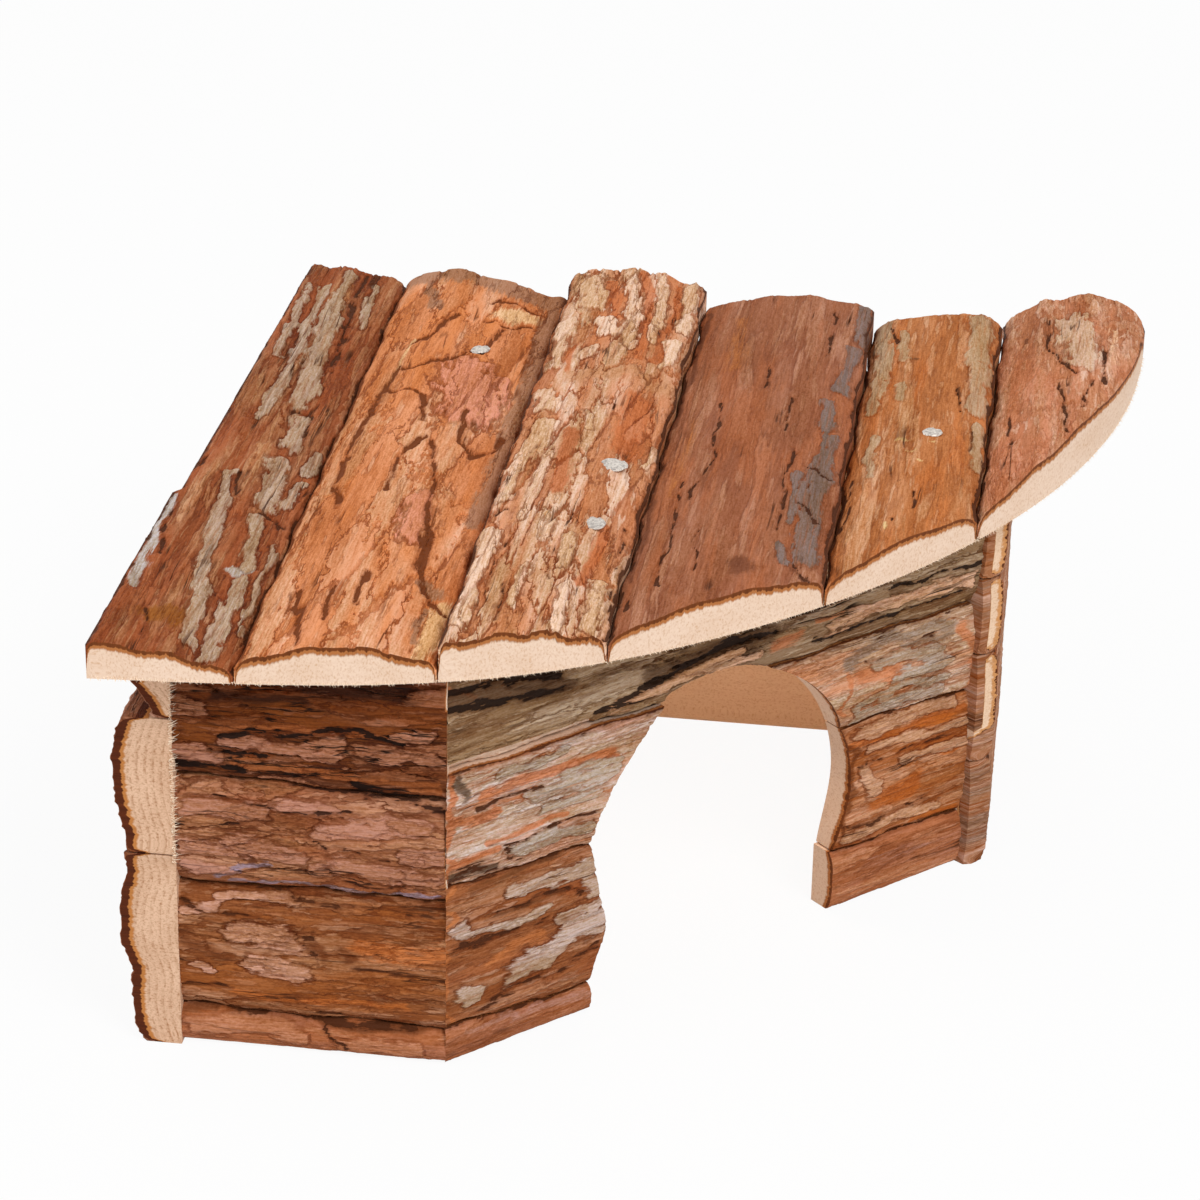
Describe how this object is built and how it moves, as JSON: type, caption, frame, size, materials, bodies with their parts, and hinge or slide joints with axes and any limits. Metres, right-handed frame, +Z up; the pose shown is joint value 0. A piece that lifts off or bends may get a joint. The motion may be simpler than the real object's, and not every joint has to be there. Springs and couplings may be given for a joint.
{
  "type": "wooden hamster house",
  "caption": "Open-bottomed small-pet house of bark-faced boards, with an arched doorway in its slanted wall and a flat overhanging roof of bark planks",
  "frame": {"origin": "on the floor, under the middle of the roof's bounding rectangle", "axes": "+X runs to the right along the short front wall and across the roof planks, +Y runs back along the left wall and the planks' length, +Z points up"},
  "size_m": [0.206, 0.213, 0.1048],
  "materials": {
    "bark_reddish": "reddish-brown bark with grey-beige stripes on pale sawn wood",
    "bark_orange": "orange-tan flaky bark on pale sawn wood",
    "bark_pale": "pale plated bark with orange-brown channels on pale sawn wood",
    "bark_plum": "smooth reddish-purple bark with a blue-grey patch on pale sawn wood",
    "bark_olive": "dark olive-grey bark on pale sawn wood",
    "bark_streaked": "streaky grey, orange and pink bark on pale sawn wood",
    "bark_mauve": "mauve-brown bark with dark gaps on pale sawn wood",
    "bark_brown": "brown bark on pale sawn wood",
    "planed_wood": "plain planed softwood",
    "steel": "dull grey wire nail"
  },
  "bodies": {
    "root": {"back_batten": "planed_wood", "back_wall_board_1": "bark_brown", "back_wall_board_2": "bark_brown", "back_wall_board_3": "bark_brown", "back_wall_board_4": "bark_brown", "back_wall_brads": "steel", "front_batten": "planed_wood", "front_wall_board_1": "bark_mauve", "front_wall_board_2": "bark_mauve", "front_wall_board_3": "bark_mauve", "front_wall_board_4": "bark_mauve", "front_wall_brads": "steel", "left_wall_board_bottom": "bark_brown", "left_wall_board_middle": "bark_brown", "left_wall_board_top": "bark_brown", "left_wall_brads": "steel", "post_back_left": "planed_wood", "post_back_right": "planed_wood", "post_front_left": "planed_wood", "post_front_middle": "planed_wood", "post_front_right": "planed_wood", "right_wall_board_1": "bark_brown", "right_wall_board_2": "bark_brown", "right_wall_board_3": "bark_brown", "right_wall_board_4": "bark_brown", "right_wall_brads": "steel", "roof_brads": "steel", "roof_nails": "steel", "roof_plank_1": "bark_reddish", "roof_plank_2": "bark_orange", "roof_plank_3": "bark_pale", "roof_plank_4": "bark_plum", "roof_plank_5": "bark_orange", "roof_plank_6": "bark_reddish", "slant_wall_board_bottom_left": "bark_streaked", "slant_wall_board_bottom_right": "bark_streaked", "slant_wall_board_middle_left": "bark_streaked", "slant_wall_board_middle_right": "bark_streaked", "slant_wall_board_top": "bark_olive", "slant_wall_board_upper_left": "bark_streaked", "slant_wall_board_upper_right": "bark_streaked", "slant_wall_brads": "steel"}
  },
  "joints": []
}
